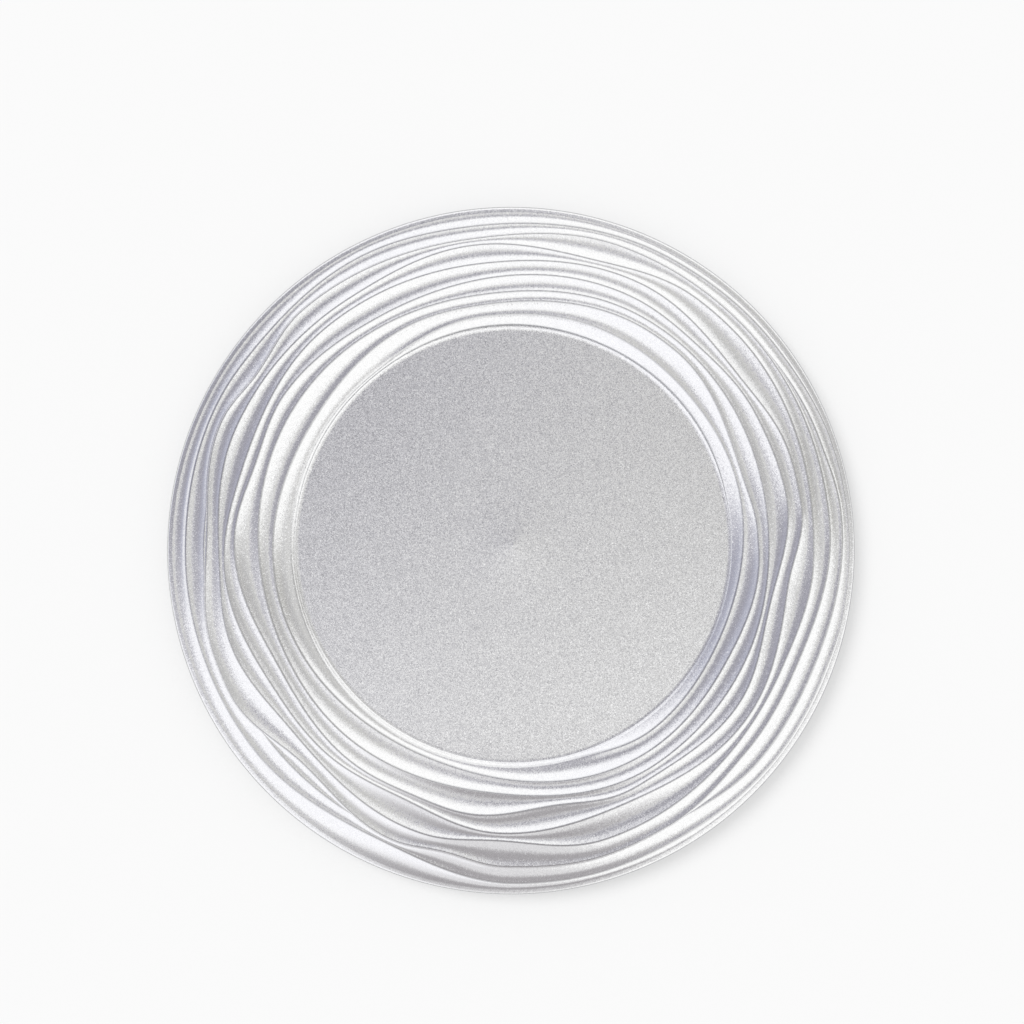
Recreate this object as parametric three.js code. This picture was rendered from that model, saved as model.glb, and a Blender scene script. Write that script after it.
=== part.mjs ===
// Silver charger plate: one dished plastic moulding whose broad rim is covered with wavy flutes, and the
// silver lacquer that is sprayed on its face. Millimetres, +Z up, origin on the table under the centre.
import * as THREE from "three";

// Driving dimensions
const PLATE_DIAMETER = 330;
const WELL_DIAMETER = 210; // flat floor
const WELL_ASIDE_X = 1; // the floor lies a little off the middle of the plate
const WELL_ASIDE_Y = 2.5;
const WALL_WIDTH = 4; // steeper start of the rim, next to the floor
const WALL_RISE = 1.2;
const DOME_RISE = 8.4; // what the rim's dome adds to the wall up to the crown
const CROWN_SHARE = 0.59; // place of the rim's highest line between the floor's edge and the plate's edge
const EDGE_DROP = 4; // outer edge below the crown
const FLOOR_THICKNESS = 2.6;
const RIM_THICKNESS = 4; // measured straight down from a crest
const EDGE_ROUND = 1.5; // rounding of the outer edge, which starts at the outermost crest
const FOOT_INSET = 6; // foot ring inside the edge of the floor
const FOOT_WIDTH = 4;
const FOOT_HEIGHT = 2.6;
const FOOT_TAPER = 0.6; // each side of the foot leans in by this much
const GATE_DIAMETER = 4; // stub left where the plastic flowed in
const GATE_HEIGHT = 0.6;
const LACQUER_THICKNESS = 0.12;
const FLUTE_ANGLE = 29; // lean of a flute's sides where two flutes meet in a crest, in degrees
const CREST_GAP = 0.4; // least distance between two crests
const ROUND_STEPS = 68;

// The crests wander round the rim. Each is given by the points where it turns: the angle in degrees, and
// the share of the way from the edge of the floor (0) to the edge of the plate (100). A crest that would
// cross the one inside it runs along it instead. The facets are those of the flute inside the crest.
const CRESTS = [
  { facets: 1, turns: [[0, 1.5], [40, 4.8], [66, 4], [92, 4.7], [130, 3], [205, 1.7], [284, 1]] },
  {
    facets: 2,
    turns: [
      [22, 13.8], [38, 13.2], [70, 15.6], [97, 13.2], [130, 4.6], [142, 4.9], [205, 3.3], [284, 2.6],
      [308, 9.3], [335, 7.2],
    ],
  },
  {
    facets: 3,
    turns: [
      [4, 23], [18, 19.4], [51, 32.2], [58, 32.3], [100, 22.7], [110, 23.1], [150, 14.7], [182, 16.9],
      [247, 7], [308, 20.4], [330, 19.1], [356, 23.9],
    ],
  },
  {
    facets: 3,
    turns: [
      [61, 39.4], [100, 31.1], [137, 33.4], [208, 24.2], [222, 24.4], [262, 20.2], [305, 31.2],
      [335, 31.9], [355, 31.2],
    ],
  },
  {
    facets: 3,
    turns: [
      [12, 49.3], [25, 48.8], [32, 49.1], [47, 46.9], [65, 50], [118, 39.9], [146, 45], [161, 40.8],
      [177, 46], [209, 32.4], [234, 36.4], [247, 35], [261, 37.4], [279, 31.3], [296, 38.2],
      [302, 37.8], [326, 43.9], [347, 36.3],
    ],
  },
  {
    facets: 3,
    turns: [
      [9, 59.6], [20, 60.4], [38, 54.5], [64, 62.6], [98, 56], [130, 56.7], [162, 49.3], [183, 53.9],
      [214, 43.2], [226, 43.6], [245, 40.2], [268, 49.9], [293, 45.8], [325, 55.6], [352, 47.8],
    ],
  },
  {
    facets: 3,
    turns: [
      [46, 75.5], [54, 75.7], [76, 67], [97, 71.4], [123, 64.8], [156, 65.5], [183, 57.7], [197, 60.6],
      [220, 50.7], [253, 60.7], [267, 55.8], [288, 66.6], [336, 60.4], [358, 66.5],
    ],
  },
  {
    facets: 3,
    turns: [
      [5, 80.4], [45, 84.2], [70, 84.6], [98, 76.9], [131, 79.9], [145, 72.4], [156, 78.4], [178, 67.8],
      [200, 76.2], [207, 76.5], [226, 61.9], [248, 73.9], [257, 70.4], [269, 76.8], [285, 79.3],
      [299, 77.8], [320, 71.6], [336, 70.4],
    ],
  },
  {
    facets: 2,
    turns: [[7, 90.7], [20, 87.4], [45, 84], [60, 70], [280, 70], [300, 77.4], [320, 84.4], [335, 83.9]],
  },
  {
    facets: 3,
    turns: [
      [14, 97.2], [38, 93.4], [62, 92.3], [97, 87.1], [117, 90.1], [140, 86.5], [152, 88], [180, 85],
      [217, 84.4], [244, 77.8], [272, 90.6], [284, 91.4], [298, 90.8], [325, 94.3], [337, 94.1],
      [353, 97.2],
    ],
  },
];
const LIP_FACETS = 2; // of the flute between the last of these crests and the outer edge
const UNDERSIDE_SHARES = [0.03, 0.09, 0.17, 0.29, 0.45, 0.7, 1];

const RIM_RADIUS = PLATE_DIAMETER / 2 - LACQUER_THICKNESS;
const LIP_RADIUS = RIM_RADIUS - EDGE_ROUND;
const WELL_RADIUS = WELL_DIAMETER / 2;
const CROWN_RADIUS = THREE.MathUtils.lerp(WELL_RADIUS, RIM_RADIUS, CROWN_SHARE);
const FOOT_RADIUS = WELL_RADIUS - FOOT_INSET;
const FLOOR_TOP = FOOT_HEIGHT + FLOOR_THICKNESS;
const FLUTE_SLOPE = Math.tan(THREE.MathUtils.degToRad(FLUTE_ANGLE));

// Height of the rim before it is fluted: a dome that starts with a steeper wall and falls to the edge.
function rimHeight(radius) {
  const toWallTop = Math.max(1 - (radius - WELL_RADIUS) / WALL_WIDTH, 0);
  const dome = FLOOR_TOP + WALL_RISE * (1 - toWallTop ** 2) + DOME_RISE;
  if (radius < CROWN_RADIUS) {
    const toCrown = (CROWN_RADIUS - radius) / (CROWN_RADIUS - WELL_RADIUS);
    return dome - DOME_RISE * toCrown ** 2;
  }
  const pastCrown = (radius - CROWN_RADIUS) / (RIM_RADIUS - CROWN_RADIUS);
  return dome - EDGE_DROP * pastCrown ** 2;
}

// A crest swings from one turning point to the next along half a cosine wave.
function crestShare(turns, degrees) {
  const next = Math.max(turns.findIndex(([angle]) => angle > degrees), 0);
  const [endAngle, endShare] = turns[next];
  const [startAngle, startShare] = turns.at(next - 1);
  const span = THREE.MathUtils.euclideanModulo(endAngle - startAngle, 360);
  const along = THREE.MathUtils.euclideanModulo(degrees - startAngle, 360) / span;
  return startShare + ((endShare - startShare) * (1 - Math.cos(Math.PI * along))) / 2;
}

// Radii of all crests at one angle, from the edge of the floor to the lip, where the outer edge begins.
function crestRadii(degrees) {
  const radii = [WELL_RADIUS];
  for (const { turns } of CRESTS) {
    const radius = THREE.MathUtils.lerp(WELL_RADIUS, RIM_RADIUS, crestShare(turns, degrees) / 100);
    radii.push(THREE.MathUtils.clamp(radius, radii.at(-1) + CREST_GAP, LIP_RADIUS - CREST_GAP));
  }
  radii.push(LIP_RADIUS);
  return radii;
}
const STEP_CRESTS = Array.from({ length: ROUND_STEPS }, (_, step) => {
  return crestRadii((step * 360) / ROUND_STEPS);
});

// Radius and height of a flute's surface at one step and share of its width: a trough between two crests.
function flutePoint(step, flute, share) {
  const [inner, outer] = STEP_CRESTS[step].slice(flute, flute + 2);
  const radius = THREE.MathUtils.lerp(inner, outer, share);
  return [radius, rimHeight(radius) - (outer - inner) * FLUTE_SLOPE * share * (1 - share)];
}

// Rings of the moulded face from the middle to the bottom of the outer edge. Each gives its radius and
// height at one step, and the direction in which lacquer builds up on it.
const face = [
  { at: () => [0, FLOOR_TOP], grow: [0, 1] },
  { at: () => [WELL_RADIUS, FLOOR_TOP], grow: [0, 1] },
];
[...CRESTS.map(({ facets }) => facets), LIP_FACETS].forEach((facets, flute) => {
  for (let facet = 1; facet <= facets; facet += 1) {
    face.push({ at: (step) => flutePoint(step, flute, facet / facets), grow: [0, 1] });
  }
});
const lip = face.at(-1);
for (const turn of [Math.PI / 4, Math.PI / 2]) {
  face.push({
    at: (step) => {
      const [radius, height] = lip.at(step);
      return [radius + EDGE_ROUND * Math.sin(turn), height - EDGE_ROUND * (1 - Math.cos(turn))];
    },
    grow: [Math.sin(turn), Math.cos(turn)],
  });
}
face.push({ at: () => [RIM_RADIUS, rimHeight(RIM_RADIUS) - RIM_THICKNESS], grow: [1, 0] });

// The same rings on the outside of the lacquer.
const coat = face.map(({ at, grow }) => ({
  at: (step) => {
    const [radius, height] = at(step);
    return [radius + LACQUER_THICKNESS * grow[0], height + LACQUER_THICKNESS * grow[1]];
  },
}));

// Rings of the plain turned underside from the middle to the bottom of the outer edge.
const underside = [
  [0, FOOT_HEIGHT - GATE_HEIGHT],
  [GATE_DIAMETER / 2, FOOT_HEIGHT - GATE_HEIGHT],
  [GATE_DIAMETER / 2, FOOT_HEIGHT],
  [FOOT_RADIUS - FOOT_WIDTH, FOOT_HEIGHT],
  [FOOT_RADIUS - FOOT_WIDTH + FOOT_TAPER, 0],
  [FOOT_RADIUS - FOOT_TAPER, 0],
  [FOOT_RADIUS, FOOT_HEIGHT],
  ...UNDERSIDE_SHARES.map((share) => {
    const radius = THREE.MathUtils.lerp(WELL_RADIUS, RIM_RADIUS, share);
    return [radius, Math.max(FOOT_HEIGHT, rimHeight(radius) - RIM_THICKNESS)];
  }),
].map((point) => ({ at: () => point }));

// Share of the floor's offset that a ring takes: all of it up to the edge of the floor, and none from the
// crown outwards. The slope inside the crown is broader on one side for it.
function asideShare(radius) {
  const toCrown = (CROWN_RADIUS - radius) / (CROWN_RADIUS - WELL_RADIUS);
  return THREE.MathUtils.clamp(toCrown, 0, 1) ** 3;
}

// Corners of the triangles of a sheet through rings that start at a point, facing up or down. Two pieces
// whose sheets share rings share the triangles too, so they meet without a gap.
function sheet(rings, facesUp) {
  const corner = (ring, step) => {
    const turned = step % ROUND_STEPS;
    const angle = (turned * 2 * Math.PI) / ROUND_STEPS;
    const [radius, height] = rings[ring].at(turned);
    const share = asideShare(radius);
    return [
      radius * Math.cos(angle) + WELL_ASIDE_X * share,
      radius * Math.sin(angle) + WELL_ASIDE_Y * share,
      height,
    ];
  };
  const corners = [];
  for (let ring = 0; ring < rings.length - 1; ring += 1) {
    for (let step = 0; step < ROUND_STEPS; step += 1) {
      const inside = corner(ring, step);
      const insideNext = corner(ring, step + 1);
      const outside = corner(ring + 1, step);
      const outsideNext = corner(ring + 1, step + 1);
      const triangles = [[inside, outsideNext, outside]];
      if (ring > 0) {
        triangles.push([inside, insideNext, outsideNext]);
      }
      for (const triangle of triangles) {
        corners.push(...(facesUp ? triangle.reverse() : triangle).flat());
      }
    }
  }
  return corners;
}

function piece(name, sheets, material) {
  const geometry = new THREE.BufferGeometry();
  geometry.setAttribute("position", new THREE.Float32BufferAttribute(sheets.flat(), 3));
  geometry.computeVertexNormals();
  const mesh = new THREE.Mesh(geometry, new THREE.MeshStandardMaterial(material));
  mesh.name = name;
  return mesh;
}

const plate = new THREE.Group();
plate.name = "charger_plate";
plate.add(
  piece("plate_moulding", [sheet(underside, false), sheet(face, true)], {
    color: "#b4b6b9",
    roughness: 0.6,
    metalness: 0,
  }),
  piece("silver_lacquer", [sheet([...face, coat.at(-1)], false), sheet(coat, true)], {
    color: "#c9cacc",
    roughness: 0.35,
    metalness: 0.8,
  }),
);

export default plate;
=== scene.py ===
import math

import bmesh
import bpy
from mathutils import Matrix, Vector


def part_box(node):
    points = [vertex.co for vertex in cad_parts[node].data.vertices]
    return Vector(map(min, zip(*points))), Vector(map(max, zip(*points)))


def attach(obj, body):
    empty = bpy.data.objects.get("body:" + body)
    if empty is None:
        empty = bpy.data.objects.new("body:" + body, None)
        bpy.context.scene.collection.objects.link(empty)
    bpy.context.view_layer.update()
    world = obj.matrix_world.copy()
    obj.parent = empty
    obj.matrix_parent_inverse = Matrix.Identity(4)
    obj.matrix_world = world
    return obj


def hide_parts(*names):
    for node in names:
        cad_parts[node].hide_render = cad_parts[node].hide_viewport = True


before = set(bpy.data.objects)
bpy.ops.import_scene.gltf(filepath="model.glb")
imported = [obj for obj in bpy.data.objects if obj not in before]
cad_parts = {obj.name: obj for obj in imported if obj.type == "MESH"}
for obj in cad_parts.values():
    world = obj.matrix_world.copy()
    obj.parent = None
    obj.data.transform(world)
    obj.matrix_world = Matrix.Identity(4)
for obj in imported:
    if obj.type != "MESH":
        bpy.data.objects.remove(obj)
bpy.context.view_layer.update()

# Silver lacquer: aluminium flake in a clear satin binder, sprayed on the face of the plate and over its
# edge. It follows every flute of the moulding, so the whole relief of the rim is shaped here. Sizes are in
# millimetres, and heights are those of the moulded face under the lacquer.
MM = 0.001
lacquer_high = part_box("silver_lacquer")[1]
moulding_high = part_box("plate_moulding")[1]
plate_radius = lacquer_high[0] / MM
lacquer_thickness = plate_radius - moulding_high[0] / MM
rim_radius = plate_radius - lacquer_thickness
well_radius = 105
well_aside = (1, 2.5)
wall_width = 4
wall_rise = 1.2
dome_rise = 8.4
crown_share = 0.59
crown_radius = well_radius + crown_share * (rim_radius - well_radius)
edge_drop = 4
floor_top = 5.2
rim_thickness = 4
edge_round = 1.5
edge_fall = 3
lip_width = 0.9
lip_radius = rim_radius - edge_round - lip_width
crest_inset = 0.6
crest_start = well_radius - crest_inset
crest_span = rim_radius - well_radius
crest_drop = 0.4
crest_gap = 0.4
crest_round = 0.65
line_gap = 1.2
# Strength of the lip's line of painted crest shade, as a share of the crests' own.
lip_shade_share = 0.3
flute_lean = 29
flute_slope = math.tan(math.radians(flute_lean))
corner_round = 0.4
pip_radius = 1.2
pip_height = 0.12
round_steps = 360

# Each crest by the points where it turns: degrees, and percent of the way across the rim. All of them lie
# further in by crest_inset, and lower in the picture by crest_drop.
crests = [
    [(0, 1.5), (40, 4.8), (66, 4), (92, 4.7), (130, 3), (205, 1.7), (284, 1)],
    [(22, 13.8), (38, 13.2), (70, 15.6), (97, 13.2), (130, 4.6), (142, 4.9), (205, 3.3), (284, 2.6),
     (308, 9.3), (335, 7.2)],
    [(4, 23), (18, 19.4), (51, 32.2), (58, 32.3), (100, 22.7), (110, 23.1), (150, 14.7), (182, 16.9),
     (247, 7), (308, 20.4), (330, 19.1), (356, 23.9)],
    [(61, 39.4), (100, 31.1), (137, 33.4), (208, 24.2), (222, 24.4), (262, 20.2), (305, 31.2),
     (335, 31.9), (355, 31.2)],
    [(12, 49.3), (25, 48.8), (32, 49.1), (47, 46.9), (65, 50), (118, 39.9), (146, 45), (161, 40.8),
     (177, 46), (209, 32.4), (234, 36.4), (247, 35), (261, 37.4), (279, 31.3), (296, 38.2),
     (302, 37.8), (326, 43.9), (347, 36.3)],
    [(9, 59.6), (20, 60.4), (38, 54.5), (64, 62.6), (98, 56), (130, 56.7), (162, 49.3), (183, 53.9),
     (214, 43.2), (226, 43.6), (245, 40.2), (268, 49.9), (293, 45.8), (325, 55.6), (352, 47.8)],
    [(46, 75.5), (54, 75.7), (76, 67), (97, 71.4), (123, 64.8), (156, 65.5), (183, 57.7), (197, 60.6),
     (220, 50.7), (253, 60.7), (267, 55.8), (288, 66.6), (336, 60.4), (358, 66.5)],
    [(5, 80.4), (45, 84.2), (70, 84.6), (98, 76.9), (131, 79.9), (145, 72.4), (156, 78.4), (178, 67.8),
     (200, 76.2), (207, 76.5), (226, 61.9), (248, 73.9), (257, 70.4), (269, 76.8), (285, 79.3),
     (299, 77.8), (320, 71.6), (336, 70.4)],
    [(7, 90.7), (20, 87.4), (45, 84), (60, 70), (280, 70), (300, 77.4), (320, 84.4), (335, 83.9)],
    [(14, 97.2), (38, 93.4), (62, 92.3), (97, 87.1), (117, 90.1), (140, 86.5), (152, 88), (180, 85),
     (217, 84.4), (244, 77.8), (272, 90.6), (284, 91.4), (298, 90.8), (325, 94.3), (337, 94.1),
     (353, 97.2)],
]


def rim_height(radius):
    to_wall_top = max(1 - (radius - well_radius) / wall_width, 0)
    dome = floor_top + wall_rise * (1 - to_wall_top ** 2) + dome_rise
    if radius < crown_radius:
        to_crown = (crown_radius - radius) / (crown_radius - well_radius)
        return dome - dome_rise * to_crown ** 2
    past_crown = (radius - crown_radius) / (rim_radius - crown_radius)
    return dome - edge_drop * past_crown ** 2


def crest_share(turns, degrees):
    after = next((i for i, turn in enumerate(turns) if turn[0] > degrees), 0)
    start, end = turns[after - 1], turns[after]
    along = (degrees - start[0]) % 360 / ((end[0] - start[0]) % 360)
    return start[1] + (end[1] - start[1]) * (1 - math.cos(math.pi * along)) / 2


def crest_radii(degrees):
    radii = [well_radius]
    lower = crest_drop * math.sin(math.radians(degrees))
    for turns in crests:
        radius = crest_start + crest_share(turns, degrees) / 100 * crest_span - lower
        radii.append(min(max(radius, radii[-1] + crest_gap), lip_radius - crest_gap))
    return radii + [lip_radius]


# A flute is a trough between two crests, which the lacquer rounds. Its profile is a cap at each crest and a
# parabola between them: station 0 to 1 crosses the inner cap, 1 to 2 the trough and 2 to 3 the outer cap.
def flute_point(radii, flute, station):
    inner, outer = radii[flute], radii[flute + 1]
    cap = min(crest_round, (outer - inner) / 4)
    ends = [inner, inner + cap, outer - cap, outer]
    part = min(int(station), 2)
    radius = ends[part] + (station - part) * (ends[part + 1] - ends[part])
    from_crest = min(radius - inner, outer - radius)
    if from_crest < cap:
        drop = from_crest ** 2 / (2 * cap)
    else:
        drop = cap / 2 + (radius - ends[1]) * (ends[2] - radius) / (ends[2] - ends[1])
    return radius, rim_height(radius) - flute_slope * drop


# Stations across the face, from the centre of the floor to the bottom of the edge. The first few make the
# pip that the gate has left in the middle of the floor.
wide_flute = [0.5, 1, 1.12, 1.27, 1.42, 1.58, 1.73, 1.88, 2, 2.5, 3]
narrow_flute = [0.5, 1, 1.5, 2, 2.5, 3]
stations = [("floor", share) for share in (0, 0.004, 0.008, 0.012, 0.3, 0.6, 0.85, 0.95, 0.985, 1)]
for flute in range(len(crests) + 1):
    stations += [("flute", flute, across) for across in (narrow_flute if flute < 2 else wide_flute)]
stations += [("edge", turn) for turn in (0, 10, 20, 30, 45, 60, 75, 90)]
stations += [("bottom",)]


# Painted shade: a dark line is painted along each crest, weaker on the broad lip. Where a crest
# runs along the one inside it, the two are one line.
def crest_painted_shade(radii, flute, station):
    crest = flute if station < 1.5 else flute + 1
    if crest == 0:
        return 0
    apart = radii[crest] - radii[crest - 1] - crest_gap
    shade_share = lip_shade_share if crest > len(crests) else 1
    return shade_share * max(1 - min(station, 3 - station), 0) * min(apart / line_gap, 1)


def face_point(station, radii, lift):
    kind = station[0]
    if kind == "floor":
        radius = station[1] * well_radius
        pip = pip_height * max(1 - radius / pip_radius, 0)
        return radius, floor_top + pip + lift, 0
    if kind == "flute":
        radius, height = flute_point(radii, station[1], station[2])
        return radius, height + lift, crest_painted_shade(radii, station[1], station[2])
    lip_height = flute_point(radii, len(crests), 3)[1]
    if kind == "edge":
        turn = math.radians(station[1])
        return (lip_radius + lip_width + (edge_round + lift) * math.sin(turn),
                lip_height - edge_fall + (edge_fall + lift) * math.cos(turn), 0)
    return rim_radius + lift, rim_height(rim_radius) - rim_thickness + corner_round, 0


# A closed skin: a grid with a column for each place on the profile is wrapped round the axis, every point is
# put at its own radius and height, and the seam and the two ends on the axis are welded.
def wrapped(name, places):
    mesh = bmesh.new()
    columns = len(places) - 1
    bmesh.ops.create_grid(mesh, x_segments=columns, y_segments=round_steps, size=1)
    radii_at = [crest_radii(step * 360 / round_steps) for step in range(round_steps)]
    # Each point keeps the strength of the painted shade on the crests, for the lacquer's colour.
    painted_shade = mesh.verts.layers.float.new("painted_shade")
    for vert in mesh.verts:
        column = round((vert.co.x + 1) / 2 * columns)
        step = round((vert.co.y + 1) / 2 * round_steps) % round_steps
        radius, height, vert[painted_shade] = places[column](radii_at[step])
        angle = step * 2 * math.pi / round_steps
        share = min(max((crown_radius - radius) / (crown_radius - well_radius), 0), 1) ** 3
        vert.co = Vector((radius * math.cos(angle) + well_aside[0] * share,
                          radius * math.sin(angle) + well_aside[1] * share, height)) * MM
    bmesh.ops.remove_doubles(mesh, verts=mesh.verts[:], dist=1e-6)
    bmesh.ops.recalc_face_normals(mesh, faces=mesh.faces[:])
    for face in mesh.faces:
        face.smooth = True
    data = bpy.data.meshes.new(name)
    mesh.to_mesh(data)
    mesh.free()
    piece = bpy.data.objects.new(name, data)
    bpy.context.scene.collection.objects.link(piece)
    return piece


inside = [lambda radii, s=station: face_point(s, radii, 0) for station in stations]
outside = [lambda radii, s=station: face_point(s, radii, lacquer_thickness) for station in stations]
lacquer = wrapped("lacquer_skin", inside + outside[::-1])


def linear(hex_colour):
    channels = [int(hex_colour[i:i + 2], 16) / 255 for i in (1, 3, 5)]
    return [c / 12.92 if c <= 0.04045 else ((c + 0.055) / 1.055) ** 2.4 for c in channels] + [1]


def add(tree, kind, settings=None, links=None):
    node = tree.nodes.new(kind)
    for key, value in (settings or {}).items():
        if isinstance(key, int) or key in node.inputs:
            node.inputs[key].default_value = value
        else:
            setattr(node, key, value)
    for key, source in (links or {}).items():
        tree.links.new(source, node.inputs[key])
    return node


# Sprayed aluminium-flake lacquer: a silver metal, satin on the floor and glossier on the polished flutes,
# with a fine salt-and-pepper sparkle, because flakes differ in tilt and gloss. Real flakes are near 0.05 mm,
# far too fine to show, so they are drawn at 0.33 mm. On the crests a dark grey is painted into the coat
# as shade. Flakes lie flat in the coat, so it is greyer where it is seen at a low angle.
flake_size = 0.33
flake_lean = 5.5
flake_tilt = math.tan(math.radians(flake_lean))
polish_fade = 0.5
# How strongly the painted crest shade darkens the coat.
crest_shade_strength = 0.42
silver = bpy.data.materials.new("sprayed_silver_lacquer")
silver.use_nodes = True
tree = silver.node_tree
tree.nodes.clear()
place = add(tree, "ShaderNodeTexCoord")
flakes = add(tree, "ShaderNodeTexVoronoi", {"Scale": 1 / (flake_size * MM)},
             {"Vector": place.outputs["Object"]})
flake = add(tree, "ShaderNodeSeparateColor", links={"Color": flakes.outputs["Color"]})
flat = add(tree, "ShaderNodeVectorMath", {"operation": "MULTIPLY", 1: (1, 1, 0)},
           {0: place.outputs["Object"]})
reach = add(tree, "ShaderNodeVectorMath",
            {"operation": "DISTANCE", 1: (well_aside[0] * MM, well_aside[1] * MM, 0)},
            {0: flat.outputs["Vector"]})
on_rim = add(tree, "ShaderNodeMapRange",
             {"From Min": (well_radius - polish_fade) * MM, "From Max": well_radius * MM},
             {"Value": reach.outputs["Value"]})
tone = add(tree, "ShaderNodeValToRGB", links={"Fac": flake.outputs["Red"]})
tone.color_ramp.elements[0].color = linear("#cacaca")
tone.color_ramp.elements[1].color = linear("#ffffff")
polish = add(tree, "ShaderNodeValToRGB", links={"Fac": flake.outputs["Red"]})
polish.color_ramp.elements[0].color = linear("#e4e4e4")
polish.color_ramp.elements[1].color = linear("#f6f6f6")
polished = add(tree, "ShaderNodeMix", {"data_type": "RGBA"},
               {0: on_rim.outputs["Result"], 6: tone.outputs["Color"], 7: polish.outputs["Color"]})
# Painted shade: a dark grey is mixed into the coat along the crests, by the strength kept on each point.
crest_shade_mark = add(tree, "ShaderNodeAttribute", {"attribute_name": "painted_shade"})
crest_shade_amount = add(tree, "ShaderNodeMath", {"operation": "MULTIPLY", 1: crest_shade_strength}, {0: crest_shade_mark.outputs["Fac"]})
coat_with_crest_shade = add(tree, "ShaderNodeMix", {"data_type": "RGBA", 7: linear("#66676b")},
           {0: crest_shade_amount.outputs["Value"], 6: polished.outputs[2]})
swing = add(tree, "ShaderNodeVectorMath", {"operation": "MULTIPLY_ADD", 1: [2] * 3, 2: [-1] * 3},
            {0: flakes.outputs["Color"]})
squared = add(tree, "ShaderNodeVectorMath", {"operation": "MULTIPLY"},
              {0: swing.outputs["Vector"], 1: swing.outputs["Vector"]})
cubed = add(tree, "ShaderNodeVectorMath", {"operation": "MULTIPLY"},
            {0: squared.outputs["Vector"], 1: swing.outputs["Vector"]})
tilt = add(tree, "ShaderNodeVectorMath", {"operation": "MULTIPLY", 1: [flake_tilt] * 3},
           {0: cubed.outputs["Vector"]})
surface = add(tree, "ShaderNodeNewGeometry")
tilted = add(tree, "ShaderNodeVectorMath", {"operation": "ADD"},
             {0: surface.outputs["Normal"], 1: tilt.outputs["Vector"]})
facing = add(tree, "ShaderNodeVectorMath", {"operation": "NORMALIZE"}, {0: tilted.outputs["Vector"]})
floor_gloss = add(tree, "ShaderNodeMapRange", {"To Min": 0.2, "To Max": 0.36},
                  {"Value": flake.outputs["Green"]})
rim_gloss = add(tree, "ShaderNodeMapRange", {"To Min": 0.06, "To Max": 0.3},
                {"Value": flake.outputs["Green"]})
gloss = add(tree, "ShaderNodeMix", links={0: on_rim.outputs["Result"], 2: floor_gloss.outputs["Result"],
                                          3: rim_gloss.outputs["Result"]})
shader = add(tree, "ShaderNodeBsdfPrincipled", {"Metallic": 1.0, "Specular Tint": linear("#a2a3a7")},
             {"Base Color": coat_with_crest_shade.outputs[2], "Roughness": gloss.outputs[0],
              "Normal": facing.outputs["Vector"]})
add(tree, "ShaderNodeOutputMaterial", links={"Surface": shader.outputs["BSDF"]})
lacquer.data.materials.append(silver)
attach(lacquer, "root")
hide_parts("silver_lacquer")

# Plate moulding: light grey plastic, injection moulded in one shot. Its underside is plain and turned, with
# a foot ring and the stub of the gate in the middle. The lacquer hides its face.
foot_height = 2.6
foot_inset = 6
foot_radius = well_radius - foot_inset
foot_width = 4
foot_taper = 0.6
gate_radius = 2
gate_height = 0.6
short_side_share = 0.45


# The mould has no sharp corners: each corner of a profile is cut by a small curve, which takes less than
# half of a short side.
def rounded(corners):
    points = [corners[0]]
    for before, corner, after in zip(corners, corners[1:], corners[2:]):
        ends = []
        for other in (before, after):
            reach = min(corner_round / math.dist(corner, other), short_side_share)
            ends.append([c + reach * (o - c) for c, o in zip(corner, other)])
        for share in (0, 0.3, 0.7, 1):
            weights = (1 - share) ** 2, 2 * share * (1 - share), share ** 2
            points.append(tuple(sum(w * p[axis] for w, p in zip(weights, (ends[0], corner, ends[1])))
                                for axis in (0, 1)))
    return points


underside = rounded([
    (0, foot_height - gate_height), (gate_radius, foot_height - gate_height), (gate_radius, foot_height),
    (foot_radius - foot_width, foot_height), (foot_radius - foot_width + foot_taper, 0),
    (foot_radius - foot_taper, 0), (foot_radius, foot_height), (well_radius, foot_height),
])
for share in (0.03, 0.06, 0.09, 0.13, 0.17, 0.23, 0.29, 0.37, 0.45, 0.57, 0.7, 0.85, 0.95):
    radius = well_radius + share * (rim_radius - well_radius)
    underside.append((radius, max(foot_height, rim_height(radius) - rim_thickness)))
edge_bottom = rim_height(rim_radius) - rim_thickness
edge_corner = [underside[-1], (rim_radius, edge_bottom), (rim_radius, edge_bottom + 3 * corner_round)]
underside += rounded(edge_corner)[1:]
below = [lambda radii, p=point: (*p, 0) for point in underside]
moulding = wrapped("moulded_plate", below + inside[-2::-1])

# Moulded polypropylene: matt from the spark-eroded mould, whose grain of about 0.4 mm is drawn at 0.8 mm to
# show. A mist of lacquer has drifted round the edge and settled on the outer part of the underside.
grain_size = 0.8
grain_depth = 0.05
flow_size = 45
mist_inner = 128
mist_cover = 0.75
mist_shine = 0.7
plastic = bpy.data.materials.new("moulded_grey_plastic")
plastic.use_nodes = True
tree = plastic.node_tree
tree.nodes.clear()
place = add(tree, "ShaderNodeTexCoord")
grain = add(tree, "ShaderNodeTexNoise", {"Scale": 1 / (grain_size * MM), "Detail": 2.0},
            {"Vector": place.outputs["Object"]})
bump = add(tree, "ShaderNodeBump", {"Strength": 0.35, "Distance": grain_depth * MM},
           {"Height": grain.outputs["Fac"]})
flow = add(tree, "ShaderNodeTexNoise", {"Scale": 1 / (flow_size * MM), "Detail": 3.0},
           {"Vector": place.outputs["Object"]})
body = add(tree, "ShaderNodeValToRGB", links={"Fac": flow.outputs["Fac"]})
body.color_ramp.elements[0].color = linear("#b3b5b8")
body.color_ramp.elements[1].color = linear("#c3c5c8")
flat = add(tree, "ShaderNodeVectorMath", {"operation": "MULTIPLY", 1: (1, 1, 0)},
           {0: place.outputs["Object"]})
reach = add(tree, "ShaderNodeVectorMath", {"operation": "LENGTH"}, {0: flat.outputs["Vector"]})
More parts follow.
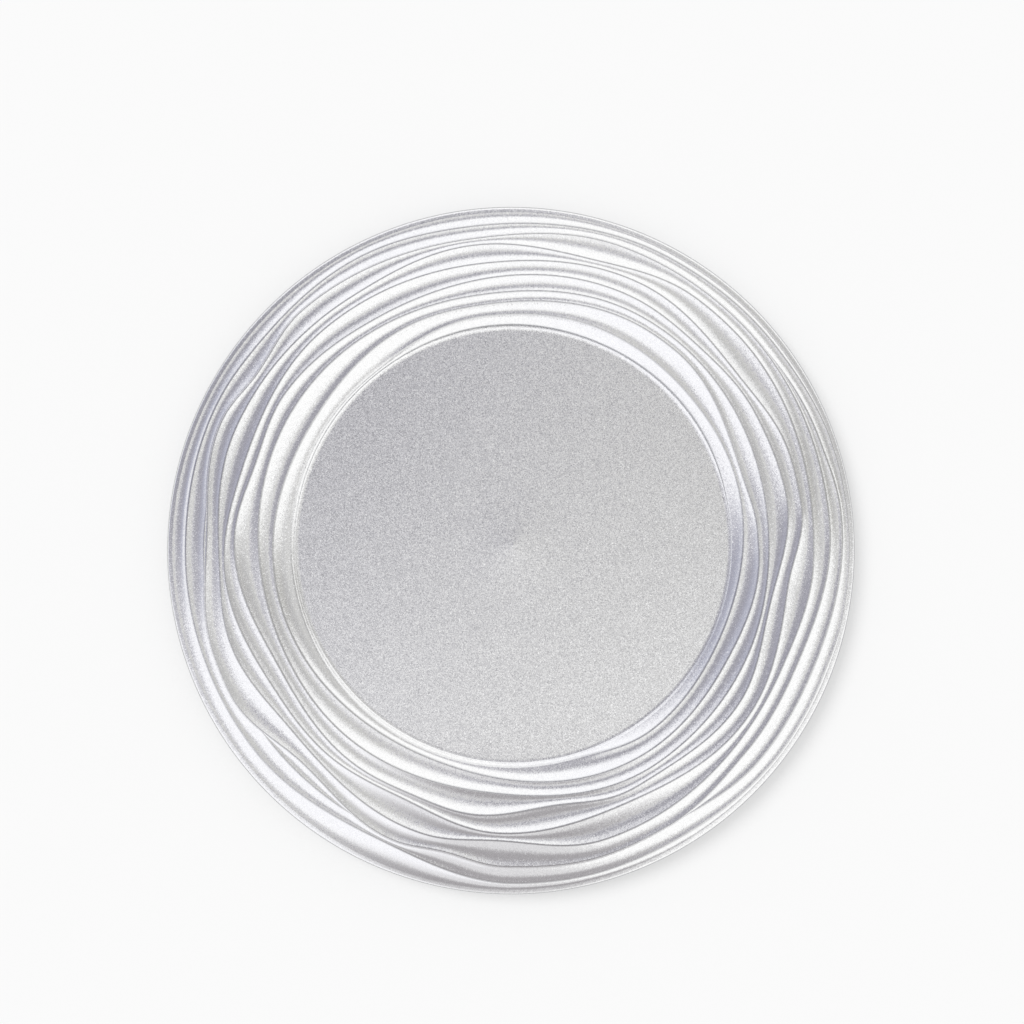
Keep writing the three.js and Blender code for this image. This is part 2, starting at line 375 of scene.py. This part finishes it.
drift = add(tree, "ShaderNodeMapRange",
            {"From Min": mist_inner * MM, "From Max": rim_radius * MM, "To Max": mist_cover},
            {"Value": reach.outputs["Value"]})
specks = add(tree, "ShaderNodeTexVoronoi", {"Scale": 1 / (flake_size * MM)},
             {"Vector": place.outputs["Object"]})
chance = add(tree, "ShaderNodeSeparateColor", links={"Color": specks.outputs["Color"]})
settled = add(tree, "ShaderNodeMath", {"operation": "LESS_THAN"},
              {0: chance.outputs["Red"], 1: drift.outputs["Result"]})
colour = add(tree, "ShaderNodeMix", {"data_type": "RGBA", 7: linear("#d9d9dc")},
             {0: settled.outputs["Value"], 6: body.outputs["Color"]})
shine = add(tree, "ShaderNodeMath", {"operation": "MULTIPLY", 1: mist_shine}, {0: settled.outputs["Value"]})
shader = add(tree, "ShaderNodeBsdfPrincipled", {"Roughness": 0.5, "IOR": 1.49},
             {"Base Color": colour.outputs[2], "Metallic": shine.outputs["Value"],
              "Normal": bump.outputs["Normal"]})
add(tree, "ShaderNodeOutputMaterial", links={"Surface": shader.outputs["BSDF"]})
moulding.data.materials.append(plastic)
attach(moulding, "root")
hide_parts("plate_moulding")

# Studio floor: a plain white sheet under the plate, which keeps the plate's soft shadow. It is seen from
# above only and takes no light from the underside of the plate, so that the underside can be looked at too.
sheet_half = 6000 * MM
floor_mesh = bmesh.new()
bmesh.ops.create_grid(floor_mesh, x_segments=1, y_segments=1, size=sheet_half)
floor_data = bpy.data.meshes.new("studio_floor")
floor_mesh.to_mesh(floor_data)
floor_mesh.free()
floor = bpy.data.objects.new("studio_floor", floor_data)
bpy.context.scene.collection.objects.link(floor)
floor.visible_diffuse = False

sheet_white = 0.965
sheet_glow = 0.4
paper = bpy.data.materials.new("white_paper")
paper.use_nodes = True
tree = paper.node_tree
tree.nodes.clear()
ray = add(tree, "ShaderNodeLightPath")
in_mirror = add(tree, "ShaderNodeMath", {"operation": "MAXIMUM"},
                {0: ray.outputs["Is Camera Ray"], 1: ray.outputs["Is Glossy Ray"]})
seen = add(tree, "ShaderNodeMath", {"operation": "MAXIMUM"},
           {0: in_mirror.outputs["Value"], 1: ray.outputs["Is Transmission Ray"]})
glow = add(tree, "ShaderNodeMath", {"operation": "MULTIPLY", 1: sheet_glow}, {0: seen.outputs["Value"]})
matt = add(tree, "ShaderNodeBsdfDiffuse", {"Color": linear("#ebebeb")})
white = add(tree, "ShaderNodeEmission", {"Color": linear("#ffffff"), "Strength": sheet_white})
sheet = add(tree, "ShaderNodeMixShader", links={0: glow.outputs["Value"], 1: matt.outputs["BSDF"],
                                                2: white.outputs["Emission"]})
side = add(tree, "ShaderNodeNewGeometry")
clear = add(tree, "ShaderNodeBsdfTransparent")
shown = add(tree, "ShaderNodeMixShader", links={0: side.outputs["Backfacing"], 1: sheet.outputs["Shader"],
                                                2: clear.outputs["BSDF"]})
add(tree, "ShaderNodeOutputMaterial", links={"Surface": shown.outputs["Shader"]})
floor_data.materials.append(paper)

# Light tent: soft white walls at the top and bottom of the picture and far out at its sides, and between
# them a greyer strip over the plate, darker and cooler on the left. The lacquer mirrors it, so it is laid
# out by slopes: those of a surface that mirrors a direction straight up. All else is lit by an even fill.
tent_white = 1.17
fill_strength = 0.785
top_wall_slopes = 0.1, 0.36
bottom_wall_slopes = 0.03, -0.155
side_wall_slopes = 0.6, 0.9
wall_bow = -0.5
strip_lean = -0.06
strip_slant = -0.5
notch_half = 0.1
notch_depth = 0.42
strip_tones = [(0.3, "#9d9ca8"), (0.4625, "#9d9ca3"), (0.486, "#cac9d1"), (0.505, "#c8c7c8"),
               (0.53, "#cbcac6"), (0.57, "#bababa"), (0.625, "#b2b1b2")]
tent = bpy.data.worlds.new("light_tent")
bpy.context.scene.world = tent
tent.use_nodes = True
tree = tent.node_tree
tree.nodes.clear()
direction = add(tree, "ShaderNodeTexCoord")
axes = add(tree, "ShaderNodeSeparateXYZ", links={"Vector": direction.outputs["Generated"]})
# Such a surface leans by X / (Z + 1) and Y / (Z + 1). A little over 1 keeps clear of zero straight down.
raised = add(tree, "ShaderNodeMath", {"operation": "ADD", 1: 1.001}, {0: axes.outputs["Z"]})
slope_up = add(tree, "ShaderNodeMath", {"operation": "DIVIDE"},
               {0: axes.outputs["Y"], 1: raised.outputs["Value"]})
slope_right = add(tree, "ShaderNodeMath", {"operation": "DIVIDE"},
                  {0: axes.outputs["X"], 1: raised.outputs["Value"]})
aside = add(tree, "ShaderNodeMath", {"operation": "ABSOLUTE"}, {0: slope_right.outputs["Value"]})
left_only = add(tree, "ShaderNodeMath", {"operation": "MINIMUM", 1: 0.0}, {0: slope_right.outputs["Value"]})
bowed = add(tree, "ShaderNodeMath", {"operation": "MULTIPLY"},
            {0: left_only.outputs["Value"], 1: left_only.outputs["Value"]})
receding = add(tree, "ShaderNodeMath", {"operation": "MULTIPLY_ADD", 1: wall_bow},
               {0: bowed.outputs["Value"], 2: slope_up.outputs["Value"]})
top_wall = add(tree, "ShaderNodeMapRange",
               {"interpolation_type": "SMOOTHSTEP",
                "From Min": top_wall_slopes[0], "From Max": top_wall_slopes[1]},
               {"Value": receding.outputs["Value"]})
leaning = add(tree, "ShaderNodeMath", {"operation": "MULTIPLY_ADD", 1: strip_lean},
              {0: slope_right.outputs["Value"], 2: slope_up.outputs["Value"]})
notch = add(tree, "ShaderNodeMapRange",
            {"interpolation_type": "SMOOTHSTEP", "From Max": notch_half, "To Min": notch_depth},
            {"Value": aside.outputs["Value"]})
notched = add(tree, "ShaderNodeMath", {"operation": "MULTIPLY"},
              {0: leaning.outputs["Value"], 1: notch.outputs["Result"]})
bottom_wall = add(tree, "ShaderNodeMapRange",
                  {"interpolation_type": "SMOOTHSTEP",
                   "From Min": bottom_wall_slopes[0], "From Max": bottom_wall_slopes[1]},
                  {"Value": notched.outputs["Value"]})
side_wall = add(tree, "ShaderNodeMapRange",
                {"interpolation_type": "SMOOTHSTEP",
                 "From Min": side_wall_slopes[0], "From Max": side_wall_slopes[1]},
                {"Value": aside.outputs["Value"]})
end_walls = add(tree, "ShaderNodeMath", {"operation": "MAXIMUM"},
                {0: top_wall.outputs["Result"], 1: bottom_wall.outputs["Result"]})
walls = add(tree, "ShaderNodeMath", {"operation": "MAXIMUM"},
            {0: end_walls.outputs["Value"], 1: side_wall.outputs["Result"]})
slant = add(tree, "ShaderNodeMath", {"operation": "MULTIPLY_ADD", 1: strip_slant},
            {0: slope_up.outputs["Value"], 2: slope_right.outputs["Value"]})
across = add(tree, "ShaderNodeMapRange", {"From Min": -1.0}, {"Value": slant.outputs["Value"]})
strip = add(tree, "ShaderNodeValToRGB", links={"Fac": across.outputs["Result"]})
strip.color_ramp.elements[0].position = 0.15
strip.color_ramp.elements[0].color = linear("#b1b3c3")
strip.color_ramp.elements[1].position = 0.8
strip.color_ramp.elements[1].color = linear("#b0afab")
for position, strip_tone in strip_tones:
    strip.color_ramp.elements.new(position).color = linear(strip_tone)
rightwards = add(tree, "ShaderNodeMapRange", {"From Min": -0.2, "From Max": 0.1},
                 {"Value": slope_right.outputs["Value"]})
wall = add(tree, "ShaderNodeMix", {"data_type": "RGBA", 6: linear("#fbfbff"), 7: linear("#ffffff")},
           {0: rightwards.outputs["Result"]})
shade = add(tree, "ShaderNodeMix", {"data_type": "RGBA"},
            {0: walls.outputs["Value"], 6: strip.outputs["Color"], 7: wall.outputs[2]})
mirrored = add(tree, "ShaderNodeBackground", {"Strength": tent_white}, {"Color": shade.outputs[2]})
fill = add(tree, "ShaderNodeBackground", {"Color": linear("#ffffff"), "Strength": fill_strength})
backdrop = add(tree, "ShaderNodeBackground", {"Color": linear("#ffffff"), "Strength": sheet_white})
ray = add(tree, "ShaderNodeLightPath")
lit = add(tree, "ShaderNodeMixShader", links={0: ray.outputs["Is Glossy Ray"], 1: fill.outputs["Background"],
                                              2: mirrored.outputs["Background"]})
seen = add(tree, "ShaderNodeMixShader", links={0: ray.outputs["Is Camera Ray"], 1: lit.outputs["Shader"],
                                               2: backdrop.outputs["Background"]})
add(tree, "ShaderNodeOutputWorld", links={"Surface": seen.outputs["Shader"]})

# Grey flag: a sheet of grey card with feathered edges, hung over the bottom of the picture. It shows only in
# the lacquer, where it darkens the flutes at the bottom of the plate.
flag_height = 80 * MM
flag_near = -121 * MM
flag_far = -700 * MM
flag_half = 110 * MM
solid_half = 30 * MM
near_feather = 22 * MM
solid_until = -165 * MM
thin_beyond = -205 * MM
thin_share = 0.45
flag_mesh = bmesh.new()
bmesh.ops.create_grid(flag_mesh, x_segments=1, y_segments=1, size=1)
bmesh.ops.scale(flag_mesh, vec=(flag_half, (flag_near - flag_far) / 2, 1), verts=flag_mesh.verts[:])
bmesh.ops.translate(flag_mesh, vec=(0, (flag_near + flag_far) / 2, flag_height), verts=flag_mesh.verts[:])
flag_data = bpy.data.meshes.new("grey_flag")
flag_mesh.to_mesh(flag_data)
flag_mesh.free()
flag = bpy.data.objects.new("grey_flag", flag_data)
flag.visible_camera = False
flag.visible_diffuse = False
flag.visible_shadow = False
bpy.context.scene.collection.objects.link(flag)

card = bpy.data.materials.new("grey_card")
card.use_nodes = True
tree = card.node_tree
tree.nodes.clear()
place = add(tree, "ShaderNodeTexCoord")
axes = add(tree, "ShaderNodeSeparateXYZ", links={"Vector": place.outputs["Object"]})
aside = add(tree, "ShaderNodeMath", {"operation": "ABSOLUTE"}, {0: axes.outputs["X"]})
across = add(tree, "ShaderNodeMapRange",
             {"interpolation_type": "SMOOTHSTEP", "From Min": flag_half, "From Max": solid_half},
             {"Value": aside.outputs["Value"]})
near_edge = add(tree, "ShaderNodeMapRange",
                {"interpolation_type": "SMOOTHSTEP",
                 "From Min": flag_near, "From Max": flag_near - near_feather},
                {"Value": axes.outputs["Y"]})
far_edge = add(tree, "ShaderNodeMapRange",
               {"interpolation_type": "SMOOTHSTEP",
                "From Min": thin_beyond, "From Max": solid_until, "To Min": thin_share},
               {"Value": axes.outputs["Y"]})
middle = add(tree, "ShaderNodeMath", {"operation": "MULTIPLY"},
             {0: near_edge.outputs["Result"], 1: far_edge.outputs["Result"]})
solid = add(tree, "ShaderNodeMath", {"operation": "MULTIPLY"},
            {0: middle.outputs["Value"], 1: across.outputs["Result"]})
open_air = add(tree, "ShaderNodeBsdfTransparent")
grey = add(tree, "ShaderNodeEmission", {"Color": linear("#b0adb0")})
feathered = add(tree, "ShaderNodeMixShader", links={0: solid.outputs["Value"], 1: open_air.outputs["BSDF"],
                                                    2: grey.outputs["Emission"]})
add(tree, "ShaderNodeOutputMaterial", links={"Surface": feathered.outputs["Shader"]})
flag_data.materials.append(card)

# Soft lamp: a broad diffuser high at the upper left of the picture, for the soft shadow at the right of the
# plate and below it. It doesn't show in the lacquer.
lamp_from = Vector((-0.57, 0.45, 0.9))
lamp_spread = 30
lamp_strength = 1.5
lamp_data = bpy.data.lights.new("soft_lamp", "SUN")
lamp_data.angle = math.radians(lamp_spread)
lamp_data.energy = lamp_strength
lamp = bpy.data.objects.new("soft_lamp", lamp_data)
lamp.rotation_euler = (-lamp_from).to_track_quat("-Z", "Y").to_euler()
lamp.visible_glossy = False
bpy.context.scene.collection.objects.link(lamp)

# Camera straight above the plate. The picture is 491.6 mm wide at the height of the plate's edge, and the
# plate's centre lies a little below the middle of the picture.
picture_width = 491.6 * MM
camera_height = 700 * MM
camera_aside = (0.5 * MM, 18.5 * MM)
edge_height = (rim_height(rim_radius) - edge_fall / 2) * MM
camera_data = bpy.data.cameras.new("camera")
camera_data.sensor_width = 36
camera_data.lens = camera_data.sensor_width * camera_height / picture_width
camera = bpy.data.objects.new("camera", camera_data)
camera.location = (*camera_aside, edge_height + camera_height)
bpy.context.scene.collection.objects.link(camera)
bpy.context.scene.camera = camera
bpy.context.scene.view_settings.view_transform = "Standard"
